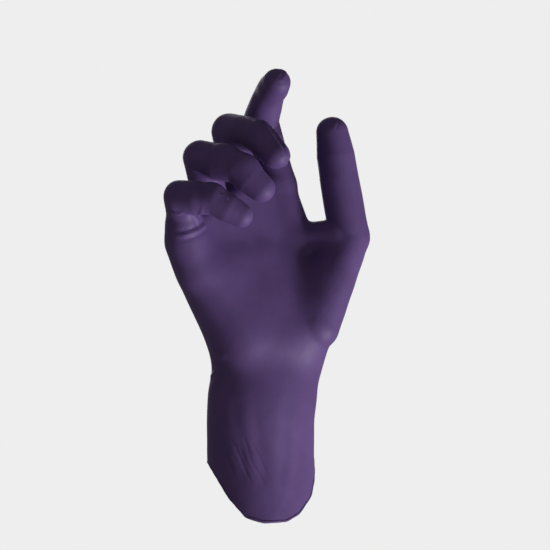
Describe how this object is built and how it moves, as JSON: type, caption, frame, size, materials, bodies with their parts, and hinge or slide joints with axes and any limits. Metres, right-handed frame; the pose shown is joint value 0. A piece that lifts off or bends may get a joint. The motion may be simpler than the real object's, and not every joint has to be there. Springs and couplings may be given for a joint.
{
  "type": "disposable nitrile glove",
  "caption": "Dark purple disposable nitrile glove in the shape of a raised, half-curled right hand; the wrist, thumb and fingers bend.",
  "frame": {"origin": "centre of the cuff opening, at the height of its back rim", "axes": "+Z from the cuff towards the fingers, the palm faces -Y, the thumb is on the +X side"},
  "size_m": [0.1342, 0.0717, 0.2676],
  "materials": {
    "film": "satin",
    "bead": "satin"
  },
  "bodies": {
    "cuff": {"cuff_bead": "bead", "cuff_sleeve": "film"},
    "hand": {"wrist_sleeve": "film", "hand_shell": "film"},
    "thumb_base": {"thumb_base": "film"},
    "thumb_middle": {"thumb_middle": "film"},
    "thumb_tip": {"thumb_tip": "film"},
    "index_base": {"index_base": "film"},
    "index_middle": {"index_middle": "film"},
    "index_tip": {"index_tip": "film"},
    "middle_base": {"middle_base": "film"},
    "middle_middle": {"middle_middle": "film"},
    "middle_tip": {"middle_tip": "film"},
    "ring_base": {"ring_base": "film"},
    "ring_middle": {"ring_middle": "film"},
    "ring_tip": {"ring_tip": "film"},
    "little_base": {"little_base": "film"},
    "little_middle": {"little_middle": "film"},
    "little_tip": {"little_tip": "film"}
  },
  "joints": [
    {"name": "wrist_bend", "type": "hinge", "parent": "cuff", "child": "hand", "pos_m": [0, 0, 0.056], "axis": [1, 0, 0], "range_deg": [-45, 40]},
    {"name": "thumb_swing", "type": "hinge", "parent": "hand", "child": "thumb_base", "pos_m": [0.028, -0.014, 0.078], "axis": [0, 1, 0], "range_deg": [-5, 20]},
    {"name": "thumb_middle_bend", "type": "hinge", "parent": "thumb_base", "child": "thumb_middle", "pos_m": [0.05251, -0.014, 0.13057], "axis": [0, 1, 0], "range_deg": [-12, 30]},
    {"name": "thumb_end_bend", "type": "hinge", "parent": "thumb_middle", "child": "thumb_tip", "pos_m": [0.04564, -0.014, 0.1659], "axis": [0, 1, 0], "range_deg": [-32, 8]},
    {"name": "index_base_bend", "type": "hinge", "parent": "hand", "child": "index_base", "pos_m": [0.0165, 0.0085, 0.162], "axis": [0.9666, -0.0872, 0.241], "range_deg": [-14, 16]},
    {"name": "index_middle_bend", "type": "hinge", "parent": "index_base", "child": "index_middle", "pos_m": [0.00708, 0.01128, 0.20078], "axis": [0.9666, -0.0872, 0.241], "range_deg": [-55, 20]},
    {"name": "index_end_bend", "type": "hinge", "parent": "index_middle", "child": "index_tip", "pos_m": [0.00142, -0.00885, 0.21623], "axis": [0.9666, -0.0872, 0.241], "range_deg": [-19.25, 7]},
    {"name": "middle_base_bend", "type": "hinge", "parent": "hand", "child": "middle_base", "pos_m": [-0.007, 0.01, 0.1565], "axis": [0.9327, 0.1219, 0.3395], "range_deg": [-27, 11]},
    {"name": "middle_middle_bend", "type": "hinge", "parent": "middle_base", "child": "middle_middle", "pos_m": [-0.0198, 0.00379, 0.19389], "axis": [0.9327, 0.1219, 0.3395], "range_deg": [-92, 2]},
    {"name": "middle_end_bend", "type": "hinge", "parent": "middle_middle", "child": "middle_tip", "pos_m": [-0.01464, -0.02447, 0.18987], "axis": [0.9327, 0.1219, 0.3395], "range_deg": [-32.2, 0.7]},
    {"name": "ring_base_bend", "type": "hinge", "parent": "hand", "child": "ring_base", "pos_m": [-0.0295, 0.006, 0.146], "axis": [0.779, 0.342, 0.5255], "range_deg": [-38, 25]},
    {"name": "ring_middle_bend", "type": "hinge", "parent": "ring_base", "child": "ring_middle", "pos_m": [-0.04535, -0.00589, 0.17725], "axis": [0.779, 0.342, 0.5255], "range_deg": [-99, 5]},
    {"name": "ring_end_bend", "type": "hinge", "parent": "ring_middle", "child": "ring_tip", "pos_m": [-0.03134, -0.02808, 0.17091], "axis": [0.779, 0.342, 0.5255], "range_deg": [-34.65, 1.75]},
    {"name": "little_base_bend", "type": "hinge", "parent": "hand", "child": "little_base", "pos_m": [-0.0505, -0.001, 0.1325], "axis": [0.63, 0.454, 0.63], "range_deg": [-53, 20]},
    {"name": "little_middle_bend", "type": "hinge", "parent": "little_base", "child": "little_middle", "pos_m": [-0.06156, -0.01531, 0.15387], "axis": [0.63, 0.454, 0.63], "range_deg": [-88, 12]},
    {"name": "little_end_bend", "type": "hinge", "parent": "little_middle", "child": "little_tip", "pos_m": [-0.04782, -0.031, 0.15144], "axis": [0.63, 0.454, 0.63], "range_deg": [-30.8, 4.2]}
  ],
  "couplings": [
    {"joint": "index_end_bend", "follows": "index_middle_bend", "ratio": 0.35},
    {"joint": "middle_end_bend", "follows": "middle_middle_bend", "ratio": 0.35},
    {"joint": "ring_end_bend", "follows": "ring_middle_bend", "ratio": 0.35},
    {"joint": "little_end_bend", "follows": "little_middle_bend", "ratio": 0.35}
  ]
}
